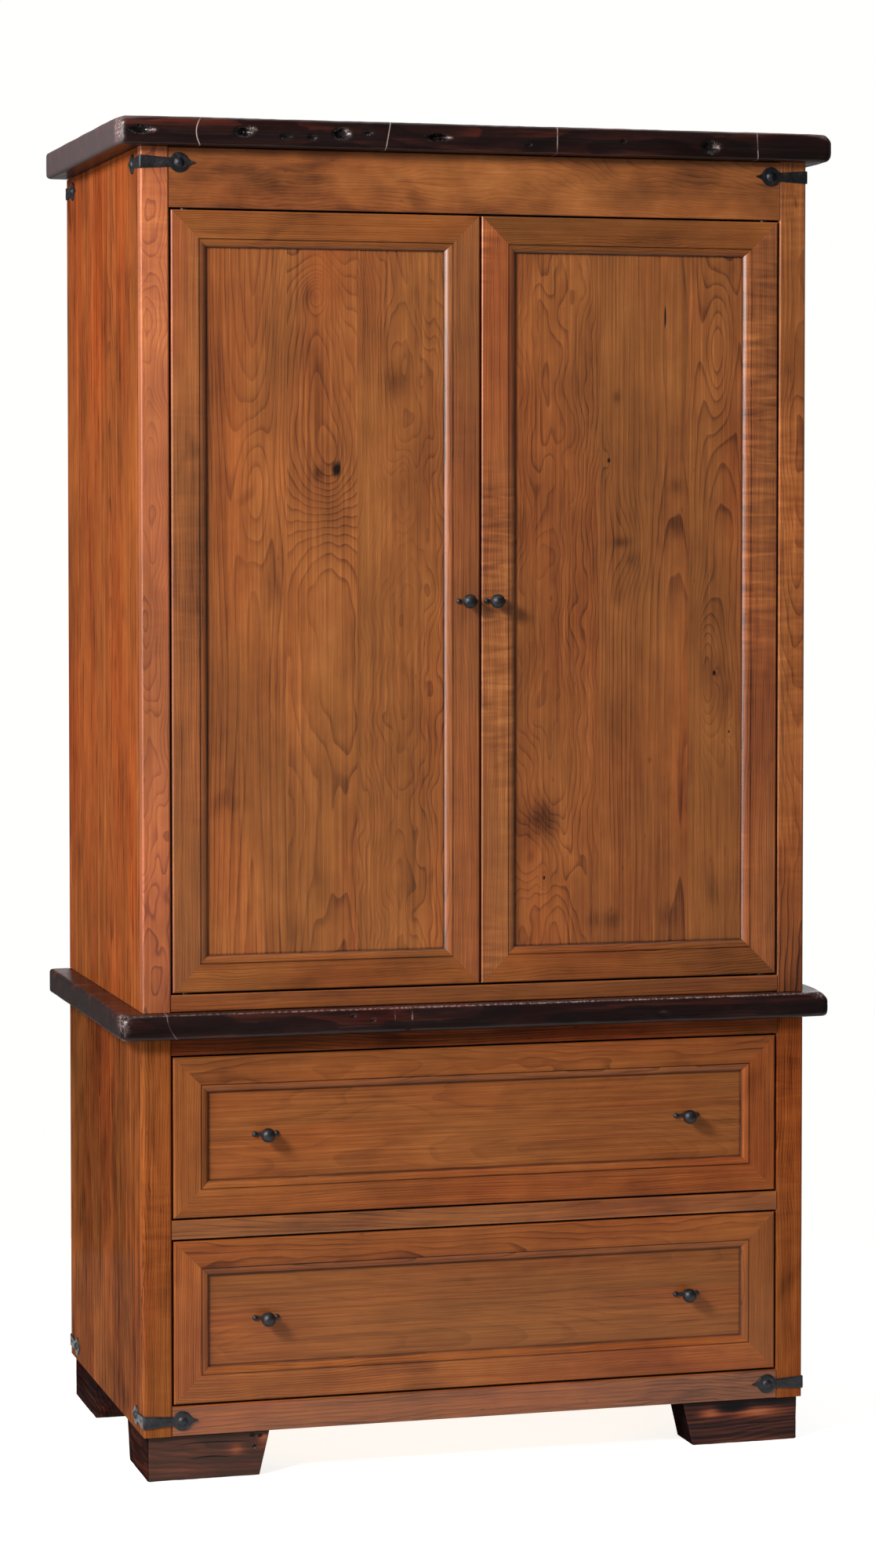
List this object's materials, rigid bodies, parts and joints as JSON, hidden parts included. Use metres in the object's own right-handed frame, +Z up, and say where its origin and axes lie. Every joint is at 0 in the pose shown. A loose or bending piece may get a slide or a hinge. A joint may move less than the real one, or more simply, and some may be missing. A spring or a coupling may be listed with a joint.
{
  "type": "armoire",
  "caption": "Tall wooden armoire with panelled doors above wide drawers, thick dark slabs on each case, block feet, ball knobs and black iron corner straps.",
  "frame": {"origin": "bottom centre of the whole armoire's box, on the floor that the feet stand on", "axes": "+Z up, the doors and drawers face -Y, +X to the right as seen from the front"},
  "size_m": [1.173, 0.6866, 2.134],
  "materials": {
    "cherry_wood": "stained and satin lacquered cherry",
    "reclaimed_wood": "dark waxed reclaimed beam wood, worn along the edges",
    "black_iron": "forged, blackened and waxed",
    "zinc_steel": "zinc plated",
    "brass": "turned",
    "catch_plastic": "matt moulded",
    "maple_wood": "clear satin lacquer",
    "back_plywood": "stained plywood"
  },
  "bodies": {
    "carcass": {"back_left_foot": "reclaimed_wood", "back_right_foot": "reclaimed_wood", "clothes_rod": "cherry_wood", "corner_straps": "black_iron", "door_catches": "catch_plastic", "door_pivot_pins": "zinc_steel", "drawer_divider_rail": "cherry_wood", "frieze_rail": "cherry_wood", "front_left_foot": "reclaimed_wood", "front_right_foot": "reclaimed_wood", "hat_shelf": "cherry_wood", "lower_back_panel": "back_plywood", "lower_bottom_rail": "cherry_wood", "lower_dust_panel": "maple_wood", "lower_left_side": "cherry_wood", "lower_posts": "cherry_wood", "lower_right_side": "cherry_wood", "lower_top_rail": "cherry_wood", "shelf_cleats": "cherry_wood", "slide_cabinet_members": "zinc_steel", "slide_spacers": "maple_wood", "strap_nails": "black_iron", "top_slab": "reclaimed_wood", "upper_back_panel": "back_plywood", "upper_bottom_rail": "cherry_wood", "upper_floor_panel": "cherry_wood", "upper_left_side": "cherry_wood", "upper_posts": "cherry_wood", "upper_right_side": "cherry_wood", "waist_slab": "reclaimed_wood"},
    "left_door": {"left_door_bushes": "brass", "left_door_knob": "black_iron", "left_door_knob_plate": "black_iron", "left_door_panel": "cherry_wood", "left_door_rails": "cherry_wood", "left_door_stiles": "cherry_wood", "left_door_strike_plate": "zinc_steel"},
    "right_door": {"right_door_bushes": "brass", "right_door_knob": "black_iron", "right_door_knob_plate": "black_iron", "right_door_panel": "cherry_wood", "right_door_rails": "cherry_wood", "right_door_stiles": "cherry_wood", "right_door_strike_plate": "zinc_steel"},
    "upper_drawer": {"upper_drawer_bottom": "maple_wood", "upper_drawer_box": "maple_wood", "upper_drawer_frame": "cherry_wood", "upper_drawer_knob_plates": "black_iron", "upper_drawer_knobs": "black_iron", "upper_drawer_panel": "cherry_wood", "upper_drawer_slide_runners": "zinc_steel"},
    "lower_drawer": {"lower_drawer_bottom": "maple_wood", "lower_drawer_box": "maple_wood", "lower_drawer_frame": "cherry_wood", "lower_drawer_knob_plates": "black_iron", "lower_drawer_knobs": "black_iron", "lower_drawer_panel": "cherry_wood", "lower_drawer_slide_runners": "zinc_steel"},
    "upper_drawer_slide_middles": {"upper_drawer_slide_middles": "zinc_steel"},
    "lower_drawer_slide_middles": {"lower_drawer_slide_middles": "zinc_steel"}
  },
  "joints": [
    {"name": "left_door_hinge", "type": "hinge", "parent": "carcass", "child": "left_door", "pos_m": [-0.4785, -0.30275, 0.768], "axis": [0, 0, -1], "range_deg": [0, 110]},
    {"name": "right_door_hinge", "type": "hinge", "parent": "carcass", "child": "right_door", "pos_m": [0.4785, -0.30275, 0.768], "axis": [0, 0, 1], "range_deg": [0, 110]},
    {"name": "upper_drawer_slide", "type": "slide", "parent": "carcass", "child": "upper_drawer", "axis": [0, -1, 0], "range_m": [0, 0.5]},
    {"name": "lower_drawer_slide", "type": "slide", "parent": "carcass", "child": "lower_drawer", "axis": [0, -1, 0], "range_m": [0, 0.5]},
    {"name": "upper_slide_middles_travel", "type": "slide", "parent": "carcass", "child": "upper_drawer_slide_middles", "axis": [0, -1, 0], "range_m": [0, 0.25]},
    {"name": "lower_slide_middles_travel", "type": "slide", "parent": "carcass", "child": "lower_drawer_slide_middles", "axis": [0, -1, 0], "range_m": [0, 0.25]}
  ],
  "couplings": [
    {"joint": "upper_slide_middles_travel", "follows": "upper_drawer_slide", "ratio": 0.5},
    {"joint": "lower_slide_middles_travel", "follows": "lower_drawer_slide", "ratio": 0.5}
  ]
}
